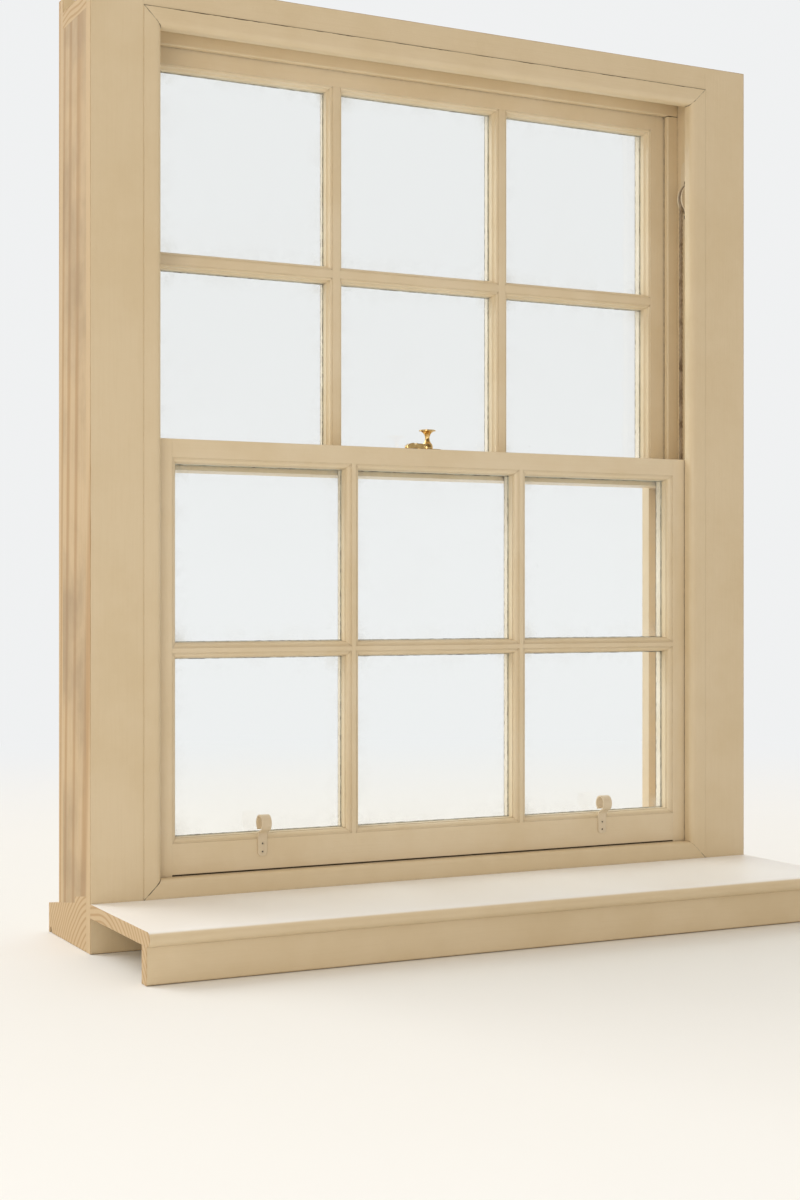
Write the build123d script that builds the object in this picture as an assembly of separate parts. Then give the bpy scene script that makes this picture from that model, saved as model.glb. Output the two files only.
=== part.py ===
from build123d import *
import os
from math import cos, radians, sin, tan

# A box sash window: two counterbalanced sashes of six panes each slide in a hollow
# painted frame. All sizes are in millimetres. X runs along the window, Y points
# outdoors and Z up. The origin is on the underside of the sill, in the middle of
# the window's width and under the middle of the parting bead.

# Sashes
sash_width = 879.0
sash_thickness = 44.0
side_gap = 1.5
face_gap = 1.5
stile_width = 46.5
sash_bottom = 72.0
bottom_rail_height = 67.3
meeting_top = 668.0
meeting_rail_height = 31.8
meeting_depth_low = 38.0
meeting_gap = 0.5
upper_rail_drop = 4.0
upper_bar_above_meeting = 247.0
top_rail_height = 44.6
head_gap = 1.5
seat_gap = 0.5
tenon_thickness = 14.0
tenon_shoulder = 12.0
tenon_shoulder_meeting = 8.0
tenon_web = 2.5

# Glazing
glass_depth = 19.0
glass_thickness = 3.0
glass_play = 1.0
rebate_width = 6.5
putty_lap = 4.0
putty_margin = 1.0

# Mouldings: flat nose and moulded margin of each sash
lower_nose = 6.4
lower_margin = 7.1
lower_step_depth = 1.4
lower_step_width = 1.6
lower_quirk = 1.0
ovolo_width = 4.5
ovolo_depth = 5.0
ovolo_bulge = 1.24
ovolo_foot = 1.2
upper_nose = 11.4
upper_margin = 5.8
upper_step_depth = 1.3
upper_step_width = 1.0
ogee_round_width = 2.2
ogee_round_depth = 3.0
ogee_round_bulge = 0.85
ogee_hollow_depth = 6.2
ogee_hollow_bulge = 0.8
pane_columns = 3

# Frame
stile_thickness = 18.0
box_width = 49.0
back_lining_thickness = 10.0
lining_thickness = 18.0
outer_lining_lap = 15.0
head_soffit = 1220.0
head_thickness = 22.0
head_lining_rise = 42.0
housing_depth = 6.0
stile_foot = 45.0

# Beads
parting_thickness = 10.0
parting_projection = 18.5
parting_groove = 6.0
parting_edge_radius = 2.5
staff_width = 25.0
staff_thickness = 19.0
staff_lap_jamb = 20.0
staff_lap_head = 16.0
staff_round = 9.0

# Sill, window board and apron
sill_slope = 1.0 / 7.0
sill_step = 8.0
sill_step_y = -3.0
sill_nose_y = 118.0
sill_throat_y = 104.0
sill_throat_width = 8.0
sill_throat_depth = 7.0
board_top = 64.0
board_thickness = 18.0
board_depth = 230.0
board_tongue = 8.0
board_tongue_thickness = 6.0
apron_thickness = 18.0
apron_setback = 10.0
apron_edge_radius = 2.0

# Pulleys, cords and weights
pulley_drop = 150.0
wheel_radius = 27.5
wheel_width = 12.0
wheel_stand_out = 13.0
groove_sink = 2.5
cord_diameter = 6.0
cord_clearance = 0.3
axle_radius = 3.5
axle_clearance = 0.08
hub_radius = 8.0
hub_extra = 0.6
web_thickness = 5.0
rim_thickness = 5.5
plate_thickness = 3.0
plate_width = 28.0
plate_height = 120.0
plate_slot_width = 14.0
plate_slot_height = 58.0
cheek_thickness = 3.0
cheek_gap = 14.0
cheek_reach = 21.0
cheek_height = 40.0
case_play = 0.5
sash_groove_width = 16.0
sash_groove_depth = 14.0
sash_groove_tail = 14.0
knot_radius = 4.7
lower_knot_drop = 198.0
upper_knot_drop = 268.5
weight_diameter = 39.0
weight_length = 440.0
weight_floor_gap = 16.0
weight_wheel_gap = 55.0
weight_neck_radius = 10.0
weight_neck_height = 16.0
weight_edge = 2.0
weight_shoulder = 6.0
weight_socket_depth = 12.0
cord_in_socket = 10.0
slip_thickness = 6.0
slip_width = 40.0
slip_floor_gap = 90.0
pocket_bottom = 150.0
pocket_height = 370.0
pocket_bevel = 6.0
pocket_margin = 4.0

# Fastener on the meeting rails
fastener_x = -5.0
fastener_y = -22.0
base_length = 42.0
base_width = 18.0
base_thickness = 2.5
pin_radius = 3.0
pin_height = 9.0
pin_clearance = 0.08
pin_headroom = 1.0
lever_lift = 0.3
boss_radius = 8.0
boss_edge = 1.6
bulb_radius = 7.4
bulb_height = 5.4
shoulder_radius = 5.4
shoulder_height = 8.6
neck_radius = 3.3
neck_height = 14.5
flare_radius = 4.6
flare_height = 20.5
cup_radius = 7.4
cup_height = 23.7
knob_radius = 12.0
knob_height = 27.2
knob_thickness = 2.0
knob_bevel = 1.4
knob_dish = 0.8
arm_reach = 35.5
arm_width = 9.0
arm_tip_height = 1.6
arm_tip_bulge = 1.6
arm_height = 7.6
arm_root_height = 6.6
arm_dip_height = 5.0
hump_at = 23.5
hump_dip_at = 21.0
second_hump_at = 18.5
arm_waist_at = 13.5
arm_waist_height = 6.2
keeper_length = 40.0
keeper_corner = 4.5
keeper_clearance = 1.0
keeper_depth = 17.5
keeper_thickness = 2.5
keeper_lug = 3.0
keeper_lip = 11.0
lip_thickness = 2.2
lip_clearance = 0.7

# Hook lifts on the bottom rail
lift_x = 272.0
lift_width = 13.5
lift_thickness = 2.2
lift_foot_rise = 37.0
lift_plate_height = 24.4
curl_rise = 20.6
curl_radius = 10.4
curl_join_angle = 75.0
curl_end_angle = -50.0
lift_corner = 5.0

# Screws
screw_head_radius = 3.0
screw_shank_radius = 1.5
screw_length = 12.0
lift_screw_inset = 5.8
lift_screw_pitch = 11.0
base_screw_offset = 15.0
keeper_screw_offset = 15.0
case_screw_offset = 50.0

# Places worked out from the sizes above
sash_half = sash_width / 2
jamb_face = sash_half + side_gap
box_inner = jamb_face + stile_thickness
box_outer = box_inner + box_width
frame_half = box_outer + back_lining_thickness
frame_top = head_soffit + head_lining_rise
parting_half = parting_thickness / 2
track_in = parting_half + face_gap
track_out = track_in + sash_thickness
lining_in = track_out + face_gap
lining_out = lining_in + lining_thickness
lower_face = -track_out
upper_face = track_in
parting_edge = jamb_face - parting_projection
parting_root = jamb_face + parting_groove
staff_edge = jamb_face - staff_lap_jamb
staff_outer = staff_edge + staff_width
staff_low = head_soffit - staff_lap_head
staff_high = staff_low + staff_width
bottom_bead_top = board_top + staff_width
sight_half = sash_half - stile_width
lower_sight_low = sash_bottom + bottom_rail_height
lower_sight_high = meeting_top - meeting_rail_height
meeting_bottom = meeting_top - meeting_depth_low
upper_rail_top = meeting_top - upper_rail_drop
upper_top = head_soffit - head_gap
upper_sight_high = upper_top - top_rail_height
lower_half_bar = lower_nose / 2 + lower_margin
upper_half_bar = upper_nose / 2 + upper_margin
lower_bar_z = (lower_sight_low + lower_sight_high) / 2
upper_bar_z = meeting_top + upper_bar_above_meeting
groove_bottom = sash_half - sash_groove_depth
pulley_height = head_soffit - pulley_drop
wheel_x = jamb_face - wheel_stand_out + wheel_radius
pitch_radius = wheel_radius - groove_sink
cord_x = wheel_x - pitch_radius
weight_x = wheel_x + pitch_radius
cord_radius = cord_diameter / 2
rail_y = (track_in + track_out) / 2
lift_foot = sash_bottom + lift_foot_rise
lift_plate_top = lift_foot + lift_plate_height
curl_height = lift_plate_top + curl_rise
lift_screw_low = lift_foot + lift_screw_inset
board_front = -lining_out - board_depth
sides = {"left": -1, "right": 1}


# Shaping helpers

def block(x0, x1, y0, y1, z0, z1):
    centre = Pos((x0 + x1) / 2, (y0 + y1) / 2, (z0 + z1) / 2)
    return centre * Box(abs(x1 - x0), abs(y1 - y0), abs(z1 - z0))


def outline(points):
    return make_face(Polyline(*points, close=True))


def prism_x(face, x0, x1):
    return extrude(Plane.YZ.offset(x0) * face, amount=x1 - x0)


def prism_y(face, y0, y1):
    return extrude(Plane.XZ.offset(-y0) * face, amount=-(y1 - y0))


def prism_z(face, z0, z1):
    return extrude(Plane.XY.offset(z0) * face, amount=z1 - z0)


def on_side(shape, side):
    return mirror(shape, about=Plane.YZ) if side < 0 else shape


# Sill, board and apron

def sill_height(y):
    fall = sill_slope * (y - lower_face)
    step = sill_step if y > sill_step_y else 0.0
    return sash_bottom - seat_gap - fall - step


def sill_section():
    step_top = sill_height(sill_step_y)
    return outline([
        (-lining_in, 0), (-lining_in, sill_height(-lining_in)), (sill_step_y, step_top),
        (sill_step_y, step_top - sill_step), (sill_nose_y, sill_height(sill_nose_y)), (sill_nose_y, 0),
        (sill_throat_y + sill_throat_width, 0),
        (sill_throat_y + sill_throat_width, sill_throat_depth),
        (sill_throat_y, sill_throat_depth), (sill_throat_y, 0),
    ])


def sill_block():
    inner = block(-staff_outer, staff_outer, -lining_out, -lining_in, 0, board_top)
    return prism_x(sill_section(), -frame_half, frame_half) + inner


def board_tongue_block():
    middle = board_top - board_thickness / 2
    half = board_tongue_thickness / 2
    return block(-staff_outer, staff_outer, -lining_out, -lining_out + board_tongue,
                 middle - half, middle + half)


def make_sill():
    sill = sill_block() - board_tongue_block()
    for side in sides.values():
        sill -= on_side(block(jamb_face, box_inner, -lining_in, lining_in, stile_foot, head_soffit), side)
    return sill


def make_board():
    low = board_top - board_thickness
    nose = board_thickness / 2
    section = outline([(-lining_out, low), (board_front + nose, low), (board_front + nose, board_top),
                       (-lining_out, board_top)])
    section += Pos(board_front + nose, low + nose) * Circle(nose)
    return prism_x(section, -frame_half, frame_half) + board_tongue_block()


def make_apron():
    near = board_front + apron_setback
    body = block(-frame_half, frame_half, near, near + apron_thickness, 0, board_top - board_thickness)
    front_low = body.edges().filter_by(Axis.X).group_by(Axis.Y)[0].sort_by(Axis.Z)[0]
    return fillet(front_low, apron_edge_radius)


# Frame members

def pocket_block():
    top = pocket_bottom + pocket_height
    shape = outline([(jamb_face, pocket_bottom), (box_inner, pocket_bottom - pocket_bevel),
                     (box_inner, top - pocket_bevel), (jamb_face, top)])
    return prism_y(shape, -lining_in + pocket_margin, -parting_half - pocket_margin)


def parting_jamb_block():
    return block(parting_edge, parting_root, -parting_half, parting_half, stile_foot, staff_high)


def case_cutout(y):
    half = cheek_gap / 2 + cheek_thickness + case_play
    tall = plate_slot_height / 2 + case_play
    body = block(jamb_face, box_inner, y - half, y + half, pulley_height - tall, pulley_height + tall)
    return body + face_plate(y)


def make_pulley_stile():
    stile = block(jamb_face, box_inner, -lining_in, lining_in, stile_foot, head_soffit + housing_depth)
    stile -= pocket_block()
    stile -= parting_jamb_block()
    for y in (-rail_y, rail_y):
        stile -= case_cutout(y)
    return stile


def make_head():
    head = block(-frame_half, frame_half, -lining_in, lining_in, head_soffit, head_soffit + head_thickness)
    for side in sides.values():
        head -= on_side(block(jamb_face, box_inner, -lining_in, lining_in, head_soffit,
                              head_soffit + housing_depth), side)
    head -= block(-jamb_face, jamb_face, -parting_half, parting_half, head_soffit,
                  head_soffit + parting_groove)
    return head


def make_inner_lining():
    return block(staff_outer, frame_half, -lining_out, -lining_in, 0, frame_top)


def make_outer_lining():
    inner = jamb_face - outer_lining_lap
    return block(inner, frame_half, lining_in, lining_out, 0, frame_top) - sill_block()


def make_head_linings():
    inner = block(-staff_outer, staff_outer, -lining_out, -lining_in, staff_high, frame_top)
    edge = jamb_face - outer_lining_lap
    outer = block(-edge, edge, lining_in, lining_out, head_soffit - outer_lining_lap, frame_top)
    return inner, outer


def make_back_lining():
    return block(box_outer, frame_half, -lining_in, lining_in, 0, head_soffit) - sill_block()


def make_parting_slip():
    half = slip_thickness / 2
    middle = (box_inner + box_outer) / 2
    return block(middle - slip_width / 2, middle + slip_width / 2, -half, half,
                 sill_height(0) + slip_floor_gap, head_soffit)


# Beads

def make_parting_jamb():
    low_edge = head_soffit - parting_projection
    bead = block(parting_edge, parting_root, -parting_half, parting_half, stile_foot, low_edge)
    bead = fillet(bead.edges().filter_by(Axis.Z).group_by(Axis.X)[0], parting_edge_radius)
    return bead - sill_block()


def make_parting_head():
    low = head_soffit - parting_projection
    bead = block(-jamb_face, jamb_face, -parting_half, parting_half, low, head_soffit + parting_groove)
    return fillet(bead.edges().filter_by(Axis.X).group_by(Axis.Z)[0], parting_edge_radius)


def staff_section():
    # Across the bead from its outer edge at 0, and from its back at 0 to its face
    flat = staff_width - staff_round
    deep = staff_thickness - staff_round
    body = Pos(flat / 2, staff_thickness / 2) * Rectangle(flat, staff_thickness)
    body += Pos(flat + staff_round / 2, deep / 2) * Rectangle(staff_round, deep)
    body += Pos(flat, deep) * Circle(staff_round)
    return body


def staff_bar(origin, across, along, length):
    place = Plane(origin=origin, x_dir=across, z_dir=along)
    return extrude(place * staff_section(), amount=length)


def mitred(bar, points):
    cutter = prism_y(outline(points), -lining_out - staff_width, 0)
    return bar & cutter


def make_staff_beads():
    back = -lining_in
    height = staff_high - board_top
    jamb = staff_bar((staff_outer, back, board_top), (-1, 0, 0), (0, 0, 1), height)
    jamb = mitred(jamb, [(staff_outer, board_top), (staff_edge, bottom_bead_top),
                         (staff_edge, staff_low), (staff_outer, staff_high)])
    head = staff_bar((staff_outer, back, staff_high), (0, 0, -1), (-1, 0, 0), 2 * staff_outer)
    head = mitred(head, [(-staff_outer, staff_high), (-staff_edge, staff_low),
                         (staff_edge, staff_low), (staff_outer, staff_high)])
    foot = staff_bar((-staff_outer, back, board_top), (0, 0, 1), (1, 0, 0), 2 * staff_outer)
    foot = mitred(foot, [(-staff_outer, board_top), (-staff_edge, bottom_bead_top),
                         (staff_edge, bottom_bead_top), (staff_outer, board_top)])
    return jamb, head, foot


# Sash joinery. A section is drawn with its first axis across the member, towards
# the glass, and its second axis from the room face outwards.

def ovolo_edge(start):
    # Flat nose, a square step, a quirk, a quarter round and a second quirk at the glass
    step = start + lower_step_width
    top = (step, lower_step_depth + lower_quirk)
    foot = (step + ovolo_width, top[1] + ovolo_depth)
    low = foot[1] + ovolo_foot
    edge = start + lower_margin
    return [Polyline((start, 0), (start, lower_step_depth), (step, lower_step_depth), top),
            SagittaArc(top, foot, -ovolo_bulge),
            Polyline(foot, (foot[0], low), (edge, low), (edge, glass_depth))]


def ogee_edge(start):
    # Flat nose, a square step, then a round that turns into a hollow
    top = (start + upper_step_width, upper_step_depth)
    turn = (top[0] + ogee_round_width, top[1] + ogee_round_depth)
    foot = (start + upper_margin, turn[1] + ogee_hollow_depth)
    return [Polyline((start, 0), (start, upper_step_depth), top),
            SagittaArc(top, turn, -ogee_round_bulge), SagittaArc(turn, foot, ogee_hollow_bulge),
            Line(foot, (foot[0], glass_depth))]


def member_section(width, margin, edge):
    back = [(width, glass_depth), (width - rebate_width, glass_depth),
            (width - rebate_width, sash_thickness), (0, sash_thickness), (0, 0), (width - margin, 0)]
    return make_face(edge(width - margin) + [Polyline(*back)])


def bar_section(nose, margin, edge):
    half = nose / 2 + margin
    fin = half - rebate_width
    back = [(half, glass_depth), (fin, glass_depth), (fin, sash_thickness), (0, sash_thickness),
            (0, 0), (nose / 2, 0)]
    side = make_face(edge(nose / 2) + [Polyline(*back)])
    return side + mirror(side, about=Plane.YZ)


def member(section, origin, across, along, length):
    return extrude(Plane(origin=origin, x_dir=across, z_dir=along) * section, amount=length)


def upright(section, x, face, low, high):
    return member(section, (x, face, low), (1, 0, 0), (0, 0, 1), high - low)


def lying_up(section, reach, face, low):
    return member(section, (reach, face, low), (0, 0, 1), (-1, 0, 0), 2 * reach)


def lying_down(section, reach, face, high):
    return member(section, (-reach, face, high), (0, 0, -1), (1, 0, 0), 2 * reach)


def tenon(face, low, high):
    middle = face + sash_thickness / 2
    half = tenon_thickness / 2
    reach = groove_bottom - tenon_web
    return block(-reach, reach, middle - half, middle + half, low, high)


def sash_groove(face, top, knot_height):
    middle = face + sash_thickness / 2
    half = sash_groove_width / 2
    low = knot_height - sash_groove_tail
    return block(groove_bottom, sash_half + side_gap, middle - half, middle + half, low, top + side_gap)


def bar_centres(half_bar):
    pitch = 2 * (sight_half + half_bar) / pane_columns
    return [number * pitch - sight_half - half_bar for number in range(1, pane_columns)]


def pane_lines(low, high, bar_z, half_bar):
    centres = bar_centres(half_bar)
    starts = [-sight_half] + [x + half_bar for x in centres]
    ends = [x - half_bar for x in centres] + [sight_half]
    rows = [(low, bar_z - half_bar), (bar_z + half_bar, high)]
    return [(x0, x1, z0, z1) for x0, x1 in zip(starts, ends) for z0, z1 in rows]


def make_panes(face, panes):
    grow = rebate_width - glass_play
    near = face + glass_depth
    return Compound([block(x0 - grow, x1 + grow, near, near + glass_thickness, z0 - grow, z1 + grow)
                     for x0, x1, z0, z1 in panes])


def putty_ring(face, x0, x1, z0, z1):
    near = face + glass_depth + glass_thickness
    far = face + sash_thickness
    ring = block(x0 - rebate_width, x1 + rebate_width, near, far, z0 - rebate_width, z1 + rebate_width)
    wide = rebate_width - putty_margin
    centre = ((x0 + x1) / 2, (z0 + z1) / 2)
    inner = Rectangle(x1 - x0 - 2 * putty_lap, z1 - z0 - 2 * putty_lap)
    outer = Rectangle(x1 - x0 + 2 * wide, z1 - z0 + 2 * wide)
    place = Plane.XZ.offset(-near) * Pos(*centre)
    far_place = Plane.XZ.offset(-far) * Pos(*centre)
    return ring - loft([place * inner, far_place * outer])


def largest(shape, count=1):
    return sorted(shape.solids(), key=lambda solid: solid.volume)[-count:]


def make_bars(face, low, high, bar_z, half_bar, section, rails, stiles):
    # Each bar runs a little into the rails or stiles and is scribed over their mouldings
    upright_bars = []
    for x in bar_centres(half_bar):
        bar = upright(section, x, face, low - half_bar, high + half_bar)
        for rail in rails:
            bar -= rail
        upright_bars += largest(bar)
    cross = lying_down(section, sight_half + half_bar, face, bar_z)
    for other in upright_bars + stiles:
        cross -= other
    return Compound(upright_bars), Compound(largest(cross, pane_columns))


def lower_sash_parts():
    face = lower_face
    knot_height = meeting_top - lower_knot_drop
    stile_shape = member_section(stile_width, lower_margin, ovolo_edge)
    rail_shape = member_section(bottom_rail_height, lower_margin, ovolo_edge)
    top_shape = member_section(meeting_rail_height, lower_margin, ovolo_edge)
    reach = sight_half + lower_margin
    foot = prism_x(sill_section(), -frame_half, frame_half).moved(Location((0, 0, seat_gap)))
    tenons = {"bottom": tenon(face, sash_bottom + tenon_shoulder, lower_sight_low - tenon_shoulder),
              "top": tenon(face, lower_sight_high + tenon_shoulder_meeting,
                           meeting_top - tenon_shoulder_meeting)}
    left = upright(stile_shape, -sash_half, face, sash_bottom - tenon_shoulder, meeting_top)
    left -= on_side(sash_groove(face, meeting_top, knot_height), -1)
    left -= foot
    right = mirror(left, about=Plane.YZ)
    bottom = lying_up(rail_shape, reach, face, sash_bottom) + foot_filler(face)
    bottom -= foot
    meeting = lying_down(top_shape, reach, face, meeting_top) + meeting_lip_lower()
    bottom = largest(bottom - left - right)[0] + tenons["bottom"]
    meeting = largest(meeting - left - right)[0] + tenons["top"]
    left, right = left - tenons["bottom"] - tenons["top"], right - tenons["bottom"] - tenons["top"]
    bars = bar_section(lower_nose, lower_margin, ovolo_edge)
    tall, cross = make_bars(face, lower_sight_low, lower_sight_high, lower_bar_z, lower_half_bar, bars,
                            [bottom, meeting], [left, right])
    panes = pane_lines(lower_sight_low, lower_sight_high, lower_bar_z, lower_half_bar)
    return {"lower_stile_left": left, "lower_stile_right": right, "lower_bottom_rail": bottom,
            "lower_meeting_rail": meeting, "lower_upright_bars": tall, "lower_cross_bars": cross,
            "lower_glass": make_panes(face, panes),
            "lower_putty": Compound([putty_ring(face, *pane) for pane in panes])}


def foot_filler(face):
    # Carries the bottom rail down to the slope of the sill
    reach = sight_half + lower_margin
    return block(-reach, reach, face, face + sash_thickness, sash_bottom - tenon_shoulder, sash_bottom)


def bevel_y(height):
    # The slanting joint between the two meeting rails
    share = (height - meeting_bottom) / meeting_depth_low
    return -parting_half - face_gap / 2 + share * (parting_thickness + face_gap)


def meeting_lip_lower():
    reach = parting_edge - side_gap
    half = meeting_gap / 2
    shape = outline([(-track_in, lower_sight_high), (bevel_y(lower_sight_high) - half, lower_sight_high),
                     (bevel_y(meeting_top) - half, meeting_top), (-track_in, meeting_top)])
    return prism_x(shape, -reach, reach)


def meeting_lip_upper():
    reach = parting_edge - side_gap
    half = meeting_gap / 2
    shape = outline([(track_in, meeting_bottom), (bevel_y(meeting_bottom) + half, meeting_bottom),
                     (bevel_y(upper_rail_top) + half, upper_rail_top), (track_in, upper_rail_top)])
    return prism_x(shape, -reach, reach)


def upper_sash_parts():
    face = upper_face
    knot_height = upper_top - upper_knot_drop
    rail_height = upper_rail_top - meeting_bottom
    stile_shape = member_section(stile_width, upper_margin, ogee_edge)
    rail_shape = member_section(rail_height, upper_margin, ogee_edge)
    top_shape = member_section(top_rail_height, upper_margin, ogee_edge)
    reach = sight_half + upper_margin
    tenons = {"bottom": tenon(face, meeting_bottom + tenon_shoulder_meeting,
                              upper_rail_top - tenon_shoulder_meeting),
              "top": tenon(face, upper_sight_high + tenon_shoulder, upper_top - tenon_shoulder)}
    left = upright(stile_shape, -sash_half, face, meeting_bottom, upper_top)
    left -= on_side(sash_groove(face, upper_top, knot_height), -1)
    right = mirror(left, about=Plane.YZ)
    meeting = lying_up(rail_shape, reach, face, meeting_bottom) + meeting_lip_upper()
    top = lying_down(top_shape, reach, face, upper_top)
    meeting = largest(meeting - left - right)[0] + tenons["bottom"]
    top = largest(top - left - right)[0] + tenons["top"]
    left, right = left - tenons["bottom"] - tenons["top"], right - tenons["bottom"] - tenons["top"]
    bars = bar_section(upper_nose, upper_margin, ogee_edge)
    tall, cross = make_bars(face, upper_rail_top, upper_sight_high, upper_bar_z, upper_half_bar, bars,
                            [meeting, top], [left, right])
    panes = pane_lines(upper_rail_top, upper_sight_high, upper_bar_z, upper_half_bar)
    return {"upper_stile_left": left, "upper_stile_right": right, "upper_top_rail": top,
            "upper_meeting_rail": meeting, "upper_upright_bars": tall, "upper_cross_bars": cross,
            "upper_glass": make_panes(face, panes),
            "upper_putty": Compound([putty_ring(face, *pane) for pane in panes])}


# Counterbalance

def face_plate(y):
    plate = Pos(y, pulley_height) * SlotOverall(plate_height, plate_width, rotation=90)
    return prism_x(plate, jamb_face, jamb_face + plate_thickness)


def make_case(y):
    slot = Pos(y, pulley_height) * Rectangle(plate_slot_width, plate_slot_height)
    case = face_plate(y) - prism_x(slot, jamb_face, jamb_face + plate_thickness)
    inner = cheek_gap / 2
    for side in sides.values():
        near, far = y + side * inner, y + side * (inner + cheek_thickness)
        half = cheek_height / 2
        case += block(jamb_face + plate_thickness, jamb_face + plate_thickness + cheek_reach,
                      near, far, pulley_height - half, pulley_height + half)
    span = inner + cheek_thickness
    axle = Pos(wheel_x, y, pulley_height) * Rot(90, 0, 0) * Cylinder(axle_radius, 2 * span)
    return case + axle


def make_wheel(y):
    half = wheel_width / 2
    bore = axle_radius + axle_clearance
    rim = wheel_radius - rim_thickness
    hub_half = half + hub_extra
    section = outline([(bore, -hub_half), (hub_radius, -hub_half), (hub_radius, -web_thickness / 2),
                       (rim, -web_thickness / 2), (rim, -half), (wheel_radius, -half),
                       (wheel_radius, half), (rim, half), (rim, web_thickness / 2),
                       (hub_radius, web_thickness / 2), (hub_radius, hub_half), (bore, hub_half)])
    section -= Pos(pitch_radius, 0) * Circle(cord_radius + cord_clearance)
    mouth = cord_radius + cord_clearance
    section -= Pos(wheel_radius, 0) * Rectangle(2 * groove_sink, 2 * mouth)
    wheel = revolve(Plane.XY * section, axis=Axis.Y)
    return Pos(wheel_x, y, pulley_height) * wheel


def make_cord(y, knot_height, weight_top):
    end = weight_top - cord_in_socket
    down = Line((cord_x, knot_height), (cord_x, pulley_height))
    over = ThreePointArc((cord_x, pulley_height), (wheel_x, pulley_height + pitch_radius),
                         (weight_x, pulley_height))
    back = Line((weight_x, pulley_height), (weight_x, end))
    path = Plane.XZ.offset(-y) * Wire([down, over, back])
    start = Plane(origin=(cord_x, y, knot_height), z_dir=(0, 0, 1))
    rope = sweep(start * Circle(cord_radius), path=path)
    return rope + Pos(cord_x, y, knot_height) * Sphere(knot_radius)


def make_weight(y, low):
    radius = weight_diameter / 2
    top = low + weight_length
    neck = top - weight_neck_height
    socket = cord_radius + cord_clearance
    section = outline([(0, low), (radius - weight_edge, low), (radius, low + weight_edge),
                       (radius, neck - weight_shoulder), (weight_neck_radius, neck),
                       (weight_neck_radius, top - weight_edge), (weight_neck_radius - weight_edge, top),
                       (socket, top), (socket, top - weight_socket_depth), (0, top - weight_socket_depth)])
    return Pos(weight_x, y, 0) * revolve(Plane.XZ * section, axis=Axis.Z)


# Brass fastener

def screw(head_at, direction):
    head = screw_head_radius
    section = outline([(0, 0), (head, 0), (screw_shank_radius, head - screw_shank_radius),
                       (screw_shank_radius, screw_length), (0, screw_length)])
    body = revolve(Plane.XZ * section, axis=Axis.Z)
    return Plane(origin=head_at, z_dir=direction) * body


def fastener_screws():
    top = meeting_top + base_thickness
    return [screw((fastener_x + side * base_screw_offset, fastener_y, top), (0, 0, -1))
            for side in sides.values()]


def keeper_screws():
    top = upper_rail_top + keeper_thickness
    middle = keeper_near() + keeper_depth / 2
    return [screw((fastener_x + side * keeper_screw_offset, middle, top), (0, 0, -1))
            for side in sides.values()]


def lift_screws():
    face = lower_face - lift_thickness
    return [screw((side * lift_x, face, lift_screw_low + step * lift_screw_pitch), (0, 1, 0))
            for side in sides.values() for step in (0, 1)]


def case_screws():
    return [screw((side * jamb_face, y, pulley_height + step * case_screw_offset), (side, 0, 0))
            for side in sides.values() for y in (-rail_y, rail_y) for step in (-1, 1)]


def make_base():
    plate = Pos(fastener_x, fastener_y) * SlotOverall(base_length, base_width)
    base = prism_z(plate, meeting_top, meeting_top + base_thickness)
    pin = Pos(fastener_x, fastener_y) * Circle(pin_radius)
    return base + prism_z(pin, meeting_top, meeting_top + base_thickness + pin_height)


def knob_shape():
    # A turned boss, bulb and thin neck under a flat dished knob
    boss = (boss_radius, boss_edge)
    shoulder = (shoulder_radius, shoulder_height)
    flare = (flare_radius, flare_height)
    rim = (knob_radius, knob_height - knob_thickness)
    profile = [Polyline((0, 0), (boss_radius, 0), boss),
               ThreePointArc(boss, (bulb_radius, bulb_height), shoulder),
               ThreePointArc(shoulder, (neck_radius, neck_height), flare),
               ThreePointArc(flare, (cup_radius, cup_height), rim),
               Polyline(rim, (knob_radius, knob_height - knob_bevel / 2),
                        (knob_radius - knob_bevel, knob_height), (0, knob_height - knob_dish), (0, 0))]
    return revolve(Plane.XZ * make_face(profile), axis=Axis.Z)


def arm_shape():
    # The cam arm, with two humps on its back
    tip = (-arm_reach, arm_tip_height)
    hump = (-hump_at, arm_height)
    second = (-second_hump_at, arm_height)
    root = (-boss_radius, arm_root_height)
    side = [Polyline((0, 0), (-arm_reach, 0), tip), SagittaArc(tip, hump, arm_tip_bulge),
            ThreePointArc(hump, (-hump_dip_at, arm_dip_height), second),
            ThreePointArc(second, (-arm_waist_at, arm_waist_height), root),
            Polyline(root, (0, arm_root_height), (0, 0))]
    beam = extrude(Plane.XZ * make_face(side), amount=arm_width / 2, both=True)
    plan = Pos((arm_width - arm_reach) / 2, 0) * SlotOverall(arm_reach + arm_width, arm_width)
    return beam & prism_z(plan, 0, arm_height)


def make_lever():
    bottom = meeting_top + base_thickness + lever_lift
    hole = prism_z(Circle(pin_radius + pin_clearance), 0, pin_height + pin_headroom)
    lever = knob_shape() + arm_shape() - hole
    return Pos(fastener_x, fastener_y, bottom) * lever


def keeper_near():
    return bevel_y(meeting_top) + keeper_clearance


def make_keeper():
    low = upper_rail_top
    top = low + keeper_thickness
    arm_top = meeting_top + base_thickness + lever_lift + arm_height + lip_clearance
    near = keeper_near()
    far = near + keeper_depth
    lug = far - keeper_lug
    lip = lug - keeper_lip
    half = keeper_length / 2
    plate = block(fastener_x - half, fastener_x + half, near, far, low, top)
    plate = fillet(plate.edges().filter_by(Axis.Z), keeper_corner)
    hook = outline([(far, low), (far, arm_top + lip_thickness), (lip, arm_top + lip_thickness),
                    (lip, arm_top), (lug, arm_top), (lug, low)])
    return plate + prism_x(hook, fastener_x - arm_width, fastener_x + arm_width)


# Hook lifts

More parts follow.
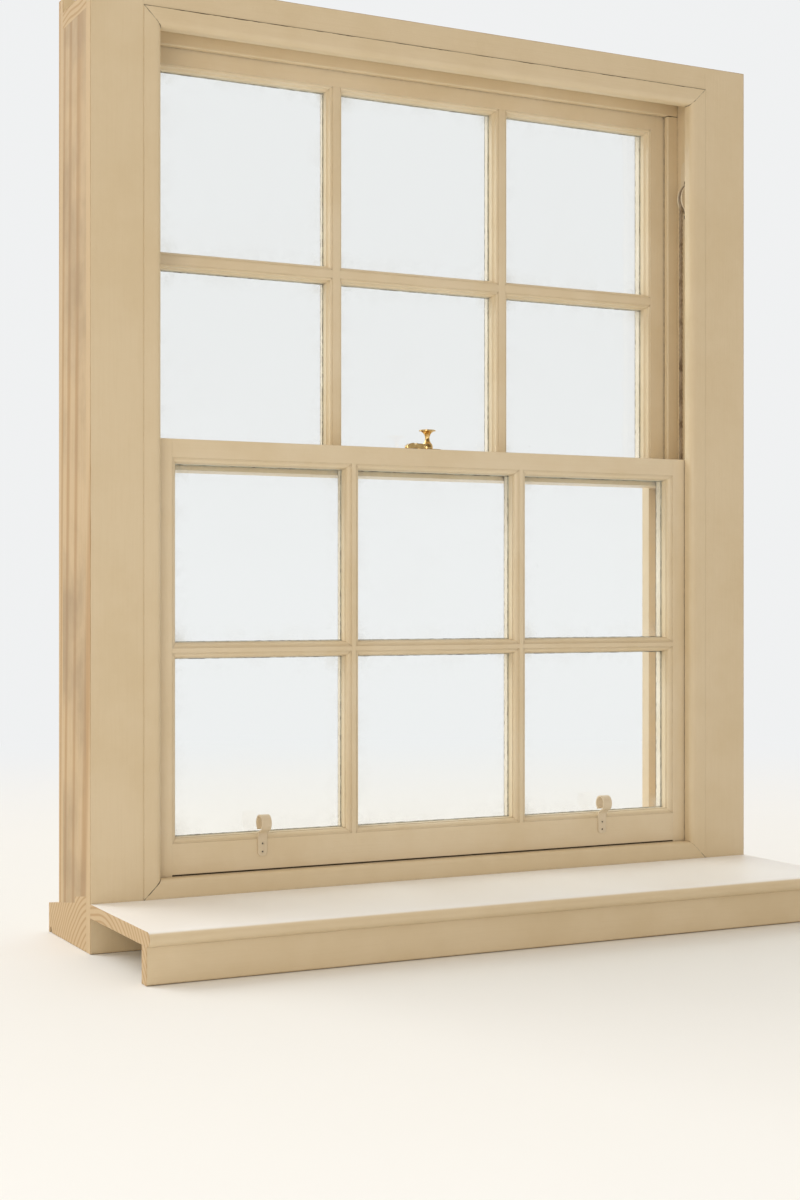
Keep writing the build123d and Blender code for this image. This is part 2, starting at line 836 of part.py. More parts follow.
def make_lift():
    line = lower_face - lift_thickness / 2
    join = radians(curl_join_angle)
    stem_top = (line, lift_plate_top)
    rise = curl_rise - curl_radius * sin(join)
    sway = rise * tan(join / 2)
    centre = line - sway + curl_radius * cos(join)
    join_point = (centre - curl_radius * cos(join), curl_height - curl_radius * sin(join))
    neck_radius = sway / (1 - cos(join))
    half_turn = join / 2
    neck_middle = (line - neck_radius * (1 - cos(half_turn)), lift_plate_top + neck_radius * sin(half_turn))
    end = radians(curl_end_angle)
    end_point = (centre + curl_radius * cos(end), curl_height + curl_radius * sin(end))
    crown = radians((180 + curl_join_angle + curl_end_angle) / 2)
    top_point = (centre + curl_radius * cos(crown), curl_height + curl_radius * sin(crown))
    strip = [Line((line, lift_foot), stem_top), ThreePointArc(stem_top, neck_middle, join_point),
             ThreePointArc(join_point, top_point, end_point)]
    profile = trace(strip, lift_thickness)
    body = prism_x(profile, -lift_width / 2, lift_width / 2)
    foot = body.edges().filter_by(Axis.Y).group_by(Axis.Z)[0]
    return Pos(lift_x, 0, 0) * fillet(foot, lift_corner)


# The whole window

def frame_parts():
    inner_head, outer_head = make_head_linings()
    staff_jamb, staff_head, staff_foot = make_staff_beads()
    parts = {"sill": make_sill(), "head": make_head(), "window_board": make_board(), "apron": make_apron(),
             "inner_lining_head": inner_head, "outer_lining_head": outer_head,
             "parting_bead_head": make_parting_head(), "staff_bead_head": staff_head,
             "staff_bead_bottom": staff_foot}
    right = {"pulley_stile": make_pulley_stile(), "inner_lining": make_inner_lining(),
             "outer_lining": make_outer_lining(), "parting_bead": make_parting_jamb(),
             "staff_bead": staff_jamb, "pulley_cases": Compound([make_case(y) for y in (-rail_y, rail_y)])}
    for name, shape in right.items():
        for word, side in sides.items():
            parts[name + "_" + word] = on_side(shape, side)
    pairs = {"back_linings": make_back_lining(), "parting_slips": make_parting_slip(),
             "pocket_pieces": pocket_block()}
    for name, shape in pairs.items():
        parts[name] = Compound([on_side(shape, side) for side in sides.values()])
    return parts


def balance_parts():
    # With both sashes shut, the lower sash's weights hang high and the upper sash's hang low
    high = pulley_height - wheel_radius - weight_wheel_gap - weight_length
    low = sill_height(-lining_in) + weight_floor_gap
    tracks = {"lower": (-rail_y, meeting_top - lower_knot_drop, high),
              "upper": (rail_y, upper_top - upper_knot_drop, low)}
    parts = {}
    for track, (y, knot_height, weight_low) in tracks.items():
        shapes = {"pulley_wheel": make_wheel(y),
                  "sash_cord": make_cord(y, knot_height, weight_low + weight_length),
                  "sash_weight": make_weight(y, weight_low)}
        for name, shape in shapes.items():
            for word, side in sides.items():
                parts[name + "_" + track + "_" + word] = on_side(shape, side)
    return parts


def fitting_parts():
    lift = make_lift()
    return {"fastener_base": make_base(), "fastener_lever": make_lever(), "fastener_keeper": make_keeper(),
            "hook_lift_left": on_side(lift, -1), "hook_lift_right": lift}


def cut_for_screws(parts, screws, names):
    for name in names:
        for one in screws:
            parts[name] = parts[name] - one


def all_parts():
    parts = frame_parts()
    parts.update(lower_sash_parts())
    parts.update(upper_sash_parts())
    parts.update(balance_parts())
    parts.update(fitting_parts())
    in_rail = fastener_screws() + lift_screws()
    cut_for_screws(parts, in_rail, ["lower_meeting_rail", "lower_bottom_rail", "fastener_base",
                                    "hook_lift_left", "hook_lift_right"])
    cut_for_screws(parts, keeper_screws(), ["upper_meeting_rail", "fastener_keeper"])
    for word, side in sides.items():
        own = [one for one in case_screws() if one.center().X * side > 0]
        cut_for_screws(parts, own, ["pulley_stile_" + word, "pulley_cases_" + word])
    parts["sash_screws"] = Compound(in_rail)
    parts["keeper_screws"] = Compound(keeper_screws())
    parts["pulley_screws"] = Compound(case_screws())
    return parts


os.makedirs("parts", exist_ok=True)
for node, shape in all_parts().items():
    export_step(shape, "parts/" + node + ".step")
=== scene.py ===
from math import cos, pi, radians, sin

import bmesh
import bpy
from mathutils import Matrix, Vector, noise


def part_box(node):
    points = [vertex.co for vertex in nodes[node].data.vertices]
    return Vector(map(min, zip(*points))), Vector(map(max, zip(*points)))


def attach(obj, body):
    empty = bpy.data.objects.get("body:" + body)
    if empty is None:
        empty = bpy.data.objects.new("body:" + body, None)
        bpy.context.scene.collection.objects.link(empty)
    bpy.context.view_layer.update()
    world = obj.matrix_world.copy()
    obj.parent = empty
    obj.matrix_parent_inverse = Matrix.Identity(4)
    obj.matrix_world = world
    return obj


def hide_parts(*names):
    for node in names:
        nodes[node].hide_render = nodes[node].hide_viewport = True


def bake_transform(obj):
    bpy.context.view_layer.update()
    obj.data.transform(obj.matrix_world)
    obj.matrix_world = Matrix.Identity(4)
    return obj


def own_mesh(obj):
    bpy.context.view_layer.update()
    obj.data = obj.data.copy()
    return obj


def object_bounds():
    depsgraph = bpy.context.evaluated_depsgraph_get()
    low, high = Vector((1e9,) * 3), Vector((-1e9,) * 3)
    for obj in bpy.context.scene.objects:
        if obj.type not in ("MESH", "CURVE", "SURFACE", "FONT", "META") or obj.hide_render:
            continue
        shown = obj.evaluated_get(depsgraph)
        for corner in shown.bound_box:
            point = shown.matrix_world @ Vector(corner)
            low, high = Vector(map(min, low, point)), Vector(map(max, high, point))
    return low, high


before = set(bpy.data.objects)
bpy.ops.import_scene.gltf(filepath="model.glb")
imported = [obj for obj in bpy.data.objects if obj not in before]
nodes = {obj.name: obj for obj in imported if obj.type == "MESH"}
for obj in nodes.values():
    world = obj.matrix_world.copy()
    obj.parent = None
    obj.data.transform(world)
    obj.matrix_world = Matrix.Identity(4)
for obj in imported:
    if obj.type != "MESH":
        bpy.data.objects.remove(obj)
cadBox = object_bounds()
cadLow, cadHigh = Vector(cadBox[0]), Vector(cadBox[1])
print("frame loaded,", len(nodes), "nodes")


# Small helpers for node trees

def put(tree, kind, inputs=None, **settings):
    node = tree.nodes.new("ShaderNode" + kind)
    for key, value in settings.items():
        setattr(node, key, value)
    for key, value in (inputs or {}).items():
        if isinstance(value, bpy.types.NodeSocket):
            tree.links.new(value, node.inputs[key])
        else:
            node.inputs[key].default_value = value
    return node


def newGroup(name, inputs, outputs):
    group = bpy.data.node_groups.new(name, "ShaderNodeTree")
    for label, kind, value in inputs:
        socket = group.interface.new_socket(name=label, in_out="INPUT", socket_type="NodeSocket" + kind)
        socket.default_value = value
    for label, kind in outputs:
        group.interface.new_socket(name=label, in_out="OUTPUT", socket_type="NodeSocket" + kind)
    return group, group.nodes.new("NodeGroupInput").outputs, group.nodes.new("NodeGroupOutput")


def useGroup(tree, group, **values):
    inputs = {key.capitalize(): value for key, value in values.items()}
    return put(tree, "Group", inputs, node_tree=group).outputs


def newMaterial(name):
    material = bpy.data.materials.new(name)
    material.use_nodes = True
    tree = material.node_tree
    shader = tree.nodes["Principled BSDF"]
    return material, tree, shader


def linkSurface(tree, shader, base, rough, height=None, normal=None):
    # "height" is the relief in metres, on top of "normal"
    tree.links.new(base, shader.inputs["Base Color"])
    tree.links.new(rough, shader.inputs["Roughness"])
    if height is None:
        return
    inputs = {"Height": height, "Distance": 1.0}
    if normal is not None:
        inputs["Normal"] = normal
    tree.links.new(put(tree, "Bump", inputs).outputs["Normal"], shader.inputs["Normal"])


def maths(tree, operation, *values):
    return put(tree, "Math", dict(enumerate(values)), operation=operation).outputs[0]


def scaled(tree, factor, value):
    return maths(tree, "MULTIPLY", value, factor)


def added(tree, first, second):
    return maths(tree, "ADD", first, second)


def minus(tree, first, second):
    return maths(tree, "SUBTRACT", first, second)


def smaller(tree, first, second):
    return maths(tree, "MINIMUM", first, second)


def larger(tree, first, second):
    return maths(tree, "MAXIMUM", first, second)


def absolute(tree, value):
    return maths(tree, "ABSOLUTE", value)


def ranged(tree, value, low, high, start=0.0, end=1.0):
    inputs = {"Value": value, "From Min": low, "From Max": high, "To Min": start, "To Max": end}
    return put(tree, "MapRange", inputs, interpolation_type="SMOOTHSTEP").outputs["Result"]


def objectPlace(tree):
    return put(tree, "TexCoord").outputs["Object"]


def stretched(tree, place, stretch):
    return put(tree, "VectorMath", {0: place, 1: stretch}, operation="MULTIPLY").outputs[0]


def mottled(tree, place, scale, detail, roughness=0.5):
    inputs = {"Vector": place, "Scale": scale, "Detail": detail, "Roughness": roughness}
    return put(tree, "TexNoise", inputs).outputs["Fac"]


def blended(tree, share, first, second):
    return put(tree, "Mix", {0: share, 6: first, 7: second}, data_type="RGBA").outputs[2]


def colour(red, green, blue):
    # From the usual 0 to 255 to the linear values that Blender keeps
    parts = [part / 255 for part in (red, green, blue)]
    return [part / 12.92 if part <= 0.04045 else ((part + 0.055) / 1.055) ** 2.4 for part in parts] + [1.0]


# Shared effects. In each, "scale" is how fine the pattern is, per metre, and "samples" are rays per point.

wornEdge = {"samples": 6, "turned": (0.02, 0.22), "scale": 90.0, "fade": 0.08}
dirtAndShadeInCorners = {"samples": 6, "shut": (0.35, 0.95), "scale": 130.0, "dust": (0.3, 0.72), "least": 0.25}
brushwork = {"strokes": 1.0, "lumps": 75.0, "clouds": 7.0}
splitPaint = {"scale": 38.0, "widest": 0.0011}
rawTimber = {"pale": colour(208, 182, 142), "dark": colour(188, 154, 110), "soiled": colour(150, 126, 96),
             "pith": (34.0, 58.0, 47.0), "bend": 9.0, "rings": 1.5, "latewood": (-0.1, 0.98), "fibre": 0.3,
             "smear": 0.0016, "fade": 0.0004}


def makeEdgeGroup(look):
    tree, given, out = newGroup("edgeWear", [("Radius", "Float", 0.001), ("Spread", "Float", 0.5)],
                                [("Mask", "Float"), ("Normal", "Vector")])
    rounded = put(tree, "Bevel", {"Radius": given["Radius"]}, samples=look["samples"]).outputs[0]
    flat = put(tree, "NewGeometry").outputs["Normal"]
    facing = put(tree, "VectorMath", {0: rounded, 1: flat}, operation="DOT_PRODUCT").outputs["Value"]
    turned = ranged(tree, minus(tree, 1.0, facing), *look["turned"])
    patches = mottled(tree, objectPlace(tree), look["scale"], 5.0, 0.65)
    broken = ranged(tree, minus(tree, patches, given["Spread"]), 0.0, look["fade"])
    tree.links.new(scaled(tree, broken, turned), out.inputs["Mask"])
    tree.links.new(rounded, out.inputs["Normal"])
    return tree


def makeCreviceGroup(look):
    tree, given, out = newGroup("creviceDirtAndShade", [("Reach", "Float", 0.01), ("Amount", "Float", 1.0)],
                                [("Mask", "Float")])
    # Painted shade and dirt: ambient occlusion darkens corners, creases and the gaps between parts, broken up
    # by dust patches
    unblocked = put(tree, "AmbientOcclusion", {"Distance": given["Reach"]}, samples=look["samples"],
                    only_local=False).outputs["AO"]
    shut = ranged(tree, minus(tree, 1.0, unblocked), *look["shut"])
    patches = mottled(tree, objectPlace(tree), look["scale"], 6.0, 0.7)
    dust = ranged(tree, patches, *look["dust"], look["least"], 1.0)
    tree.links.new(scaled(tree, given["Amount"], scaled(tree, dust, shut)), out.inputs["Mask"])
    return tree


def makeBrushGroup(look):
    # Brush marks along a member, over the lumps of older coats
    tree, given, out = newGroup("brushMarks", [("Stretch", "Vector", (1.0, 1.0, 1.0))],
                                [("Strokes", "Float"), ("Lumps", "Float"), ("Cloud", "Float")])
    place = objectPlace(tree)
    drawn = stretched(tree, place, given["Stretch"])
    patterns = {"Strokes": mottled(tree, drawn, look["strokes"], 4.0, 0.6),
                "Lumps": mottled(tree, place, look["lumps"], 2.0, 0.45),
                "Cloud": mottled(tree, place, look["clouds"], 5.0, 0.6)}
    for label, pattern in patterns.items():
        tree.links.new(pattern, out.inputs[label])
    return tree


def makeCrackGroup(look):
    # A split in the paint along a joint, where across * |X| + up * Z = reach, and its least half-width
    tree, given, out = newGroup("jointCracks", [("Across", "Float", 0.0), ("Up", "Float", 1.0),
                                                ("Reach", "Float", 0.0), ("Least", "Float", 0.0)],
                                [("Mask", "Float")])
    place = objectPlace(tree)
    apart = put(tree, "SeparateXYZ", {0: place}).outputs
    across = scaled(tree, given["Across"], absolute(tree, apart["X"]))
    up = scaled(tree, given["Up"], apart["Z"])
    away = absolute(tree, minus(tree, added(tree, across, up), given["Reach"]))
    waver = mottled(tree, place, look["scale"], 5.0, 0.7)
    width = ranged(tree, waver, 0.42, 0.7, given["Least"], look["widest"])
    tree.links.new(maths(tree, "LESS_THAN", away, width), out.inputs["Mask"])
    return tree


def makeRawGroup(look):
    # Planed softwood where no paint went, on the faces that stand against the masonry.
    # The rings lie about a pith outside the board, and are drawn out along the grain.
    tree, given, out = newGroup("rawTimber", [("Stretch", "Vector", (1.0, 1.0, 1.0))],
                                [("Color", "Color"), ("Mask", "Float")])
    place = objectPlace(tree)
    drawn = stretched(tree, place, given["Stretch"])
    fromPith = put(tree, "VectorMath", {0: drawn, 1: look["pith"]}, operation="ADD").outputs[0]
    reach = put(tree, "VectorMath", {0: fromPith}, operation="LENGTH").outputs["Value"]
    bent = scaled(tree, look["bend"], mottled(tree, drawn, 0.025, 1.0))
    rings = maths(tree, "SINE", scaled(tree, look["rings"], added(tree, reach, bent)))
    fibre = mottled(tree, drawn, 2.0, 3.0, 0.7)
    base = blended(tree, ranged(tree, rings, *look["latewood"]), look["pale"], look["dark"])
    base = blended(tree, scaled(tree, look["fibre"], fibre), base, look["soiled"])
    apart = put(tree, "SeparateXYZ", {0: place}).outputs
    edge = scaled(tree, look["smear"], mottled(tree, place, 26.0, 4.0))
    outwards = added(tree, absolute(tree, apart["X"]), edge)
    sideways = ranged(tree, outwards, cadHigh.x, cadHigh.x + look["fade"])
    above = ranged(tree, added(tree, apart["Z"], edge), cadHigh.z, cadHigh.z + look["fade"])
    below = ranged(tree, minus(tree, edge, apart["Z"]), cadLow.z, cadLow.z + look["fade"])
    tree.links.new(base, out.inputs["Color"])
    tree.links.new(larger(tree, larger(tree, sideways, above), below), out.inputs["Mask"])
    return tree


edgeWear = makeEdgeGroup(wornEdge)
creviceDirtAndShade = makeCreviceGroup(dirtAndShadeInCorners)
brushMarks = makeBrushGroup(brushwork)
rawWood = makeRawGroup(rawTimber)
jointCracks = makeCrackGroup(splitPaint)
print("shared effects ready")


# Oil paint on timber. "stretch" is how finely the brush marks run across and along each axis, per metre.

alongX = (14.0, 520.0, 520.0)
alongZ = (520.0, 520.0, 14.0)
allRound = (400.0, 400.0, 400.0)

sashPaint = {"tone": colour(233, 217, 188), "aged": colour(223, 203, 167), "grimeAndShade": colour(92, 68, 36),
             "chip": colour(246, 241, 228), "chipped": 0.5, "mottle": 0.65, "streaks": 0.16,
             "rough": (0.3, 0.46), "roughDirt": 0.3, "roughTimber": 0.35, "brush": 0.00016, "lump": 0.00032,
             "dirtAndShade": 0.8, "reach": 0.006, "edge": 0.0009, "spread": 0.56}
# The frame's paint is the sash paint made a little darker and yellower, as painted shade: it is one paint
# throughout
shadedFramePaint = dict(sashPaint, tone=colour(228, 210, 178), aged=colour(217, 196, 158), mottle=0.5,
                  rough=(0.32, 0.48), reach=0.009)
beadPaint = dict(shadedFramePaint, grimeAndShade=colour(66, 50, 28))
# The bottom rail's darker line colour stands for painted shade over the bead as well as dirt
railPaint = dict(sashPaint, grimeAndShade=colour(58, 42, 20))
# The board's top is painted near-white as painted daylight, while the nosing keeps the frame's tone
boardPaint = dict(shadedFramePaint, paintedDaylight=colour(250, 249, 247), fade=0.0025, brush=0.00003, lump=0.00012,
                  dirtAndShade=0.6, edge=0.0012, spread=1.0)
# The near-black colour for the metal past the paint is unpainted iron darkened as painted shade inside the
# box
metalPaint = dict(sashPaint, tone=colour(230, 216, 192), aged=colour(216, 197, 164),
                  chip=colour(238, 226, 204), bareIronInShade=colour(24, 20, 16), fade=0.0006, rough=(0.31, 0.47),
                  brush=0.00004, lump=0.00025, reach=0.004, edge=0.0007, spread=0.6)


def paintMaterial(name, look, stretch, joints=(), bareFrom=None, paintedDaylightFrom=None):
    # "joints" are where the paint has split, as jointCracks takes them. "bareFrom" is how far out from the
    # middle of the window the paint ends on the metal in the boxes, and the last argument is the height above
    # which the colour is painted paler, as painted daylight on the board's top.
    material, tree, shader = newMaterial(name)
    marks = useGroup(tree, brushMarks, stretch=stretch)
    edge = useGroup(tree, edgeWear, radius=look["edge"], spread=look["spread"])
    crevice = useGroup(tree, creviceDirtAndShade, reach=look["reach"], amount=look["dirtAndShade"])
    raw = useGroup(tree, rawWood, stretch=stretch)
    apart = put(tree, "SeparateXYZ", {0: objectPlace(tree)}).outputs
    clouds = ranged(tree, marks["Cloud"], 0.36, 0.7, 0.0, look["mottle"])
    streaks = ranged(tree, marks["Strokes"], 0.4, 0.72, 0.0, look["streaks"])
    base = blended(tree, clouds, look["tone"], look["aged"])
    base = blended(tree, streaks, base, look["aged"])
    # Painted highlight: above this height the board's top is painted near-white, for the daylight that falls
    # on it
    if paintedDaylightFrom:
        pale = ranged(tree, apart["Z"], paintedDaylightFrom, paintedDaylightFrom + look["fade"])
        base = blended(tree, pale, base, look["paintedDaylight"])
    base = blended(tree, scaled(tree, look["chipped"], edge["Mask"]), base, look["chip"])
    # Painted shade and dirt in corners and gaps, from the occlusion mask
    base = blended(tree, crevice["Mask"], base, look["grimeAndShade"])
    for across, up, reach, least in joints:
        crack = useGroup(tree, jointCracks, across=across, up=up, reach=reach, least=least)["Mask"]
        base = blended(tree, crack, base, look["grimeAndShade"])
    # Past this line the bare iron is coloured near-black: painted shade inside the box
    if bareFrom:
        bareIronInShade = ranged(tree, absolute(tree, apart["X"]), bareFrom, bareFrom + look["fade"])
        base = blended(tree, bareIronInShade, base, look["bareIronInShade"])
    base = blended(tree, raw["Mask"], base, raw["Color"])
    rough = ranged(tree, marks["Cloud"], 0.3, 0.7, *look["rough"])
    rough = added(tree, rough, scaled(tree, look["roughDirt"], crevice["Mask"]))
    rough = added(tree, rough, scaled(tree, look["roughTimber"], raw["Mask"]))
    height = added(tree, scaled(tree, look["brush"], marks["Strokes"]),
                   scaled(tree, look["lump"], marks["Lumps"]))
    linkSurface(tree, shader, base, rough, height, edge["Normal"])
    return material


def dress(material, names):
    for name in names:
        nodes[name].material_slots[0].material = material


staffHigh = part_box("staff_bead_head")[1]
bottomLow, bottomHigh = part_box("staff_bead_bottom")
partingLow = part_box("parting_bead_head")[0]
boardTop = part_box("window_board")[1].z
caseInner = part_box("pulley_cases_right")[0].x
# Mitres at the top and bottom corners, then the joints with the linings
beadJoints = [(1.0, -1.0, staffHigh.x - staffHigh.z, 0.0), (1.0, 1.0, bottomHigh.x + bottomLow.z, 0.0),
              (0.0, 1.0, staffHigh.z, 0.0004)]
partingJoint = (0.0, 1.0, partingLow.z, 0.0003)
# A dark line on the bottom rail just over its bead: painted shade in the gap above the bead, and dirt
shadeAndDirtLine = (0.0, 1.0, bottomHigh.z + 0.0012, 0.001)

sashUpright = paintMaterial("sashPaintUpright", sashPaint, alongZ)
sashLying = paintMaterial("sashPaintLying", sashPaint, alongX)
frameUpright = paintMaterial("framePaintUpright", shadedFramePaint, alongZ)
frameLying = paintMaterial("framePaintLying", shadedFramePaint, alongX)
beadUpright = paintMaterial("beadPaintUpright", beadPaint, alongZ, beadJoints)
beadLying = paintMaterial("beadPaintLying", beadPaint, alongX, beadJoints)
partingUpright = paintMaterial("partingPaintUpright", beadPaint, alongZ, [partingJoint])
boardCoat = paintMaterial("boardPaint", boardPaint, alongX, paintedDaylightFrom=boardTop - 0.003)
bottomRail = paintMaterial("bottomRailPaint", railPaint, alongX, [shadeAndDirtLine])
metalCoat = paintMaterial("paintedIron", metalPaint, allRound)
pulleyCoat = paintMaterial("paintedPulley", metalPaint, allRound, bareFrom=caseInner + 0.001)

dress(sashUpright, [part + "_" + piece for part in ("lower", "upper")
                    for piece in ("stile_left", "stile_right", "upright_bars")])
dress(bottomRail, ["lower_bottom_rail"])
dress(sashLying, ["lower_meeting_rail", "lower_cross_bars", "upper_top_rail",
                  "upper_meeting_rail", "upper_cross_bars"])
dress(frameUpright, [piece + "_" + side for side in ("left", "right")
                     for piece in ("pulley_stile", "inner_lining", "outer_lining")]
      + ["pocket_pieces"])
dress(frameLying, ["head", "sill", "inner_lining_head", "outer_lining_head", "parting_bead_head", "apron"])
dress(beadUpright, ["staff_bead_left", "staff_bead_right"])
dress(beadLying, ["staff_bead_head", "staff_bead_bottom"])
dress(partingUpright, ["parting_bead_left", "parting_bead_right"])
dress(boardCoat, ["window_board"])
print("painted timber done")


# Bare softwood of the weight boxes

boxTimber = {"soiled": rawTimber["soiled"], "stain": 0.6, "reach": 0.012, "dirtAndShade": 0.7, "relief": 0.0003}


def makeBareWood(look, stretch):
    material, tree, shader = newMaterial("bareSoftwood")
    raw = useGroup(tree, rawWood, stretch=stretch)
    marks = useGroup(tree, brushMarks, stretch=stretch)
    crevice = useGroup(tree, creviceDirtAndShade, reach=look["reach"], amount=look["dirtAndShade"])
    stain = ranged(tree, marks["Cloud"], 0.35, 0.75, 0.0, look["stain"])
    base = blended(tree, stain, raw["Color"], look["soiled"])
    # Painted shade and dirt in the corners, from the occlusion mask
    base = blended(tree, crevice["Mask"], base, look["soiled"])
    rough = ranged(tree, marks["Strokes"], 0.3, 0.7, 0.6, 0.85)
    linkSurface(tree, shader, base, rough, scaled(tree, look["relief"], marks["Strokes"]))
    return material


dress(makeBareWood(boxTimber, alongZ), ["back_linings", "parting_slips"])


# Old drawn glass: clear, faintly green, wavy, and hazy with dust near its edges

glassBed = 0.0055  # how far the glass runs in behind the mouldings
puttyLap = 0.0012  # how far the putty shows past them
paneGlass = {"tint": (0.98, 0.992, 0.984, 1.0), "clear": (0.93, 0.95, 0.94, 1.0),
             "dust": colour(236, 236, 230), "wave": 0.0012, "ripple": 0.00012, "rim": (0.011, 0.042),
             "haze": 0.16, "film": 0.02, "cellShift": {"X": 3.7, "Z": 11.1}, "soil": colour(84, 70, 48),
             "soilWidth": (0.00012, 0.00055)}


def paneCells(tree, place, look, lines, half):
    # How close the edges and corners of its own pane are, a line along the putty, and a place of its own
    apart = put(tree, "SeparateXYZ", {0: place}).outputs
    width = ranged(tree, mottled(tree, place, 70.0, 4.0, 0.7), 0.42, 0.66, *look["soilWidth"])
    close, along, shift = [], [], 0.0
    for axis, onward in look["cellShift"].items():
        nearest = 1.0
        for line in lines[axis]:
            nearest = smaller(tree, nearest, absolute(tree, minus(tree, apart[axis], line)))
            shift = added(tree, shift, scaled(tree, onward, maths(tree, "GREATER_THAN", apart[axis], line)))
        close.append(ranged(tree, nearest, *look["rim"], 1.0, 0.0))
        away = absolute(tree, minus(tree, nearest, half + puttyLap))
        along.append(maths(tree, "LESS_THAN", away, width))
    own = put(tree, "CombineXYZ", {0: apart["X"], 1: shift, 2: apart["Z"]}).outputs[0]
    edges = added(tree, scaled(tree, 0.3, close[0]), scaled(tree, 0.3, close[1]))
    near = added(tree, edges, scaled(tree, close[1], close[0]))
    return near, larger(tree, along[0], along[1]), own


def makeGlass(name, look, lines, half):
    material, tree, shader = newMaterial(name)
    near, soiled, own = paneCells(tree, objectPlace(tree), look, lines, half)
    smear = ranged(tree, mottled(tree, own, 24.0, 7.0, 0.66), 0.36, 0.68)
    film = ranged(tree, mottled(tree, own, 6.0, 6.0, 0.62), 0.45, 0.8, 0.0, look["film"])
    spots = ranged(tree, mottled(tree, own, 90.0, 3.0), 0.7, 0.78, 0.0, look["film"])
    dust = added(tree, scaled(tree, look["haze"], scaled(tree, smear, near)), film)
    dust = added(tree, dust, spots)
    height = added(tree, scaled(tree, look["wave"], mottled(tree, own, 8.0, 1.0)),
                   scaled(tree, look["ripple"], mottled(tree, own, 40.0, 1.0)))
    bump = put(tree, "Bump", {"Height": height, "Distance": 1.0})
    tree.links.new(bump.outputs["Normal"], shader.inputs["Normal"])
    shader.inputs["Base Color"].default_value = look["tint"]
    shader.inputs["Roughness"].default_value = 0.0
    shader.inputs["IOR"].default_value = 1.5
    shader.inputs["Transmission Weight"].default_value = 1.0
    grey = blended(tree, soiled, look["dust"], look["soil"])
    veil = put(tree, "BsdfDiffuse", {"Color": grey})
    glow = put(tree, "BsdfTranslucent", {"Color": grey})
    bloom = put(tree, "MixShader", {0: 0.5, 1: veil.outputs[0], 2: glow.outputs[0]})
    share = larger(tree, dust, scaled(tree, 0.5, soiled))
    dusty = put(tree, "MixShader", {0: share, 1: shader.outputs[0], 2: bloom.outputs[0]})
    clear = put(tree, "BsdfTransparent", {"Color": look["clear"]})
    path = put(tree, "LightPath").outputs
    lighting = larger(tree, path["Is Shadow Ray"], path["Is Diffuse Ray"])
    both = put(tree, "MixShader", {0: lighting, 1: dusty.outputs[0], 2: clear.outputs[0]})
    tree.links.new(both.outputs[0], tree.nodes["Material Output"].inputs["Surface"])
    return material


def paneLines(part):
    # The middle of each bar, and the same distance behind the rails' and stiles' edges
    glassLow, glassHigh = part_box(part + "_glass")
    barLow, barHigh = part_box(part + "_cross_bars")
    half = (barHigh.z - barLow.z) / 2
    inset = glassBed - half
    first = glassLow.x + inset
    pitch = (glassHigh.x - inset - first) / 3
    lines = {"X": [first + count * pitch for count in range(4)],
             "Z": [glassLow.z + inset, (barLow.z + barHigh.z) / 2, glassHigh.z - inset]}
    return lines, half


for part in ("lower", "upper"):
    dress(makeGlass(part + "PaneGlass", paneGlass, *paneLines(part)), [part + "_glass"])
print("glass done")


# Metals

polishedBrass = {"bright": colour(236, 202, 138), "dull": colour(190, 148, 86), "tarnish": colour(70, 44, 18),
                 "handled": 0.6, "rough": (0.13, 0.25), "edge": 0.0005, "reach": 0.004, "dirtAndShade": 0.85,
                 "relief": 0.00001}
castIron = {"grey": colour(62, 60, 58), "rust": colour(104, 62, 36), "relief": 0.0006}


def makeBrass(look):
    material, tree, shader = newMaterial("polishedBrass")
    place = objectPlace(tree)
    hands = mottled(tree, place, 220.0, 5.0, 0.6)
    fine = mottled(tree, place, 2600.0, 2.0)
    edge = useGroup(tree, edgeWear, radius=look["edge"], spread=0.2)
    crevice = useGroup(tree, creviceDirtAndShade, reach=look["reach"], amount=look["dirtAndShade"])
    base = blended(tree, ranged(tree, hands, 0.42, 0.72, 0.0, look["handled"]), look["bright"], look["dull"])
    base = blended(tree, crevice["Mask"], base, look["tarnish"])
    rough = added(tree, ranged(tree, hands, 0.35, 0.75, *look["rough"]), scaled(tree, 0.3, crevice["Mask"]))
    shader.inputs["Metallic"].default_value = 1.0
    linkSurface(tree, shader, base, rough, scaled(tree, look["relief"], fine), edge["Normal"])
    return material


def makeIron(look):
    material, tree, shader = newMaterial("roughCastIron")
    place = objectPlace(tree)
    sand = mottled(tree, place, 500.0, 5.0, 0.7)
    base = blended(tree, ranged(tree, mottled(tree, place, 40.0, 5.0), 0.45, 0.7), look["grey"], look["rust"])
    rough = ranged(tree, sand, 0.3, 0.7, 0.55, 0.85)
    linkSurface(tree, shader, base, rough, scaled(tree, look["relief"], sand))
    return material


everyCord = [part + "_" + side for part in ("lower", "upper") for side in ("left", "right")]
brass = makeBrass(polishedBrass)
dress(brass, ["fastener_base", "fastener_lever", "fastener_keeper"])
dress(makeIron(castIron), ["sash_weight_" + label for label in everyCord])
dress(metalCoat, ["hook_lift_left", "hook_lift_right"])
dress(pulleyCoat, ["pulley_cases_left", "pulley_cases_right"])
dress(pulleyCoat, ["pulley_wheel_" + label for label in everyCord])
print("metals done")


# Helpers for new pieces

weld = {"cut": 0.000001, "fine": 0.000002, "coarse": 0.00001}  # points closer than this are one


def newPiece(name, bm, material, smooth=True):
    mesh = bpy.data.meshes.new(name)
    bmesh.ops.remove_doubles(bm, verts=bm.verts, dist=weld["fine"])
    bmesh.ops.recalc_face_normals(bm, faces=bm.faces)
    bm.to_mesh(mesh)
    bm.free()
    for face in mesh.polygons:
        face.use_smooth = smooth
    mesh.materials.append(material)
    piece = bpy.data.objects.new(name, mesh)
    bpy.context.scene.collection.objects.link(piece)
    return piece


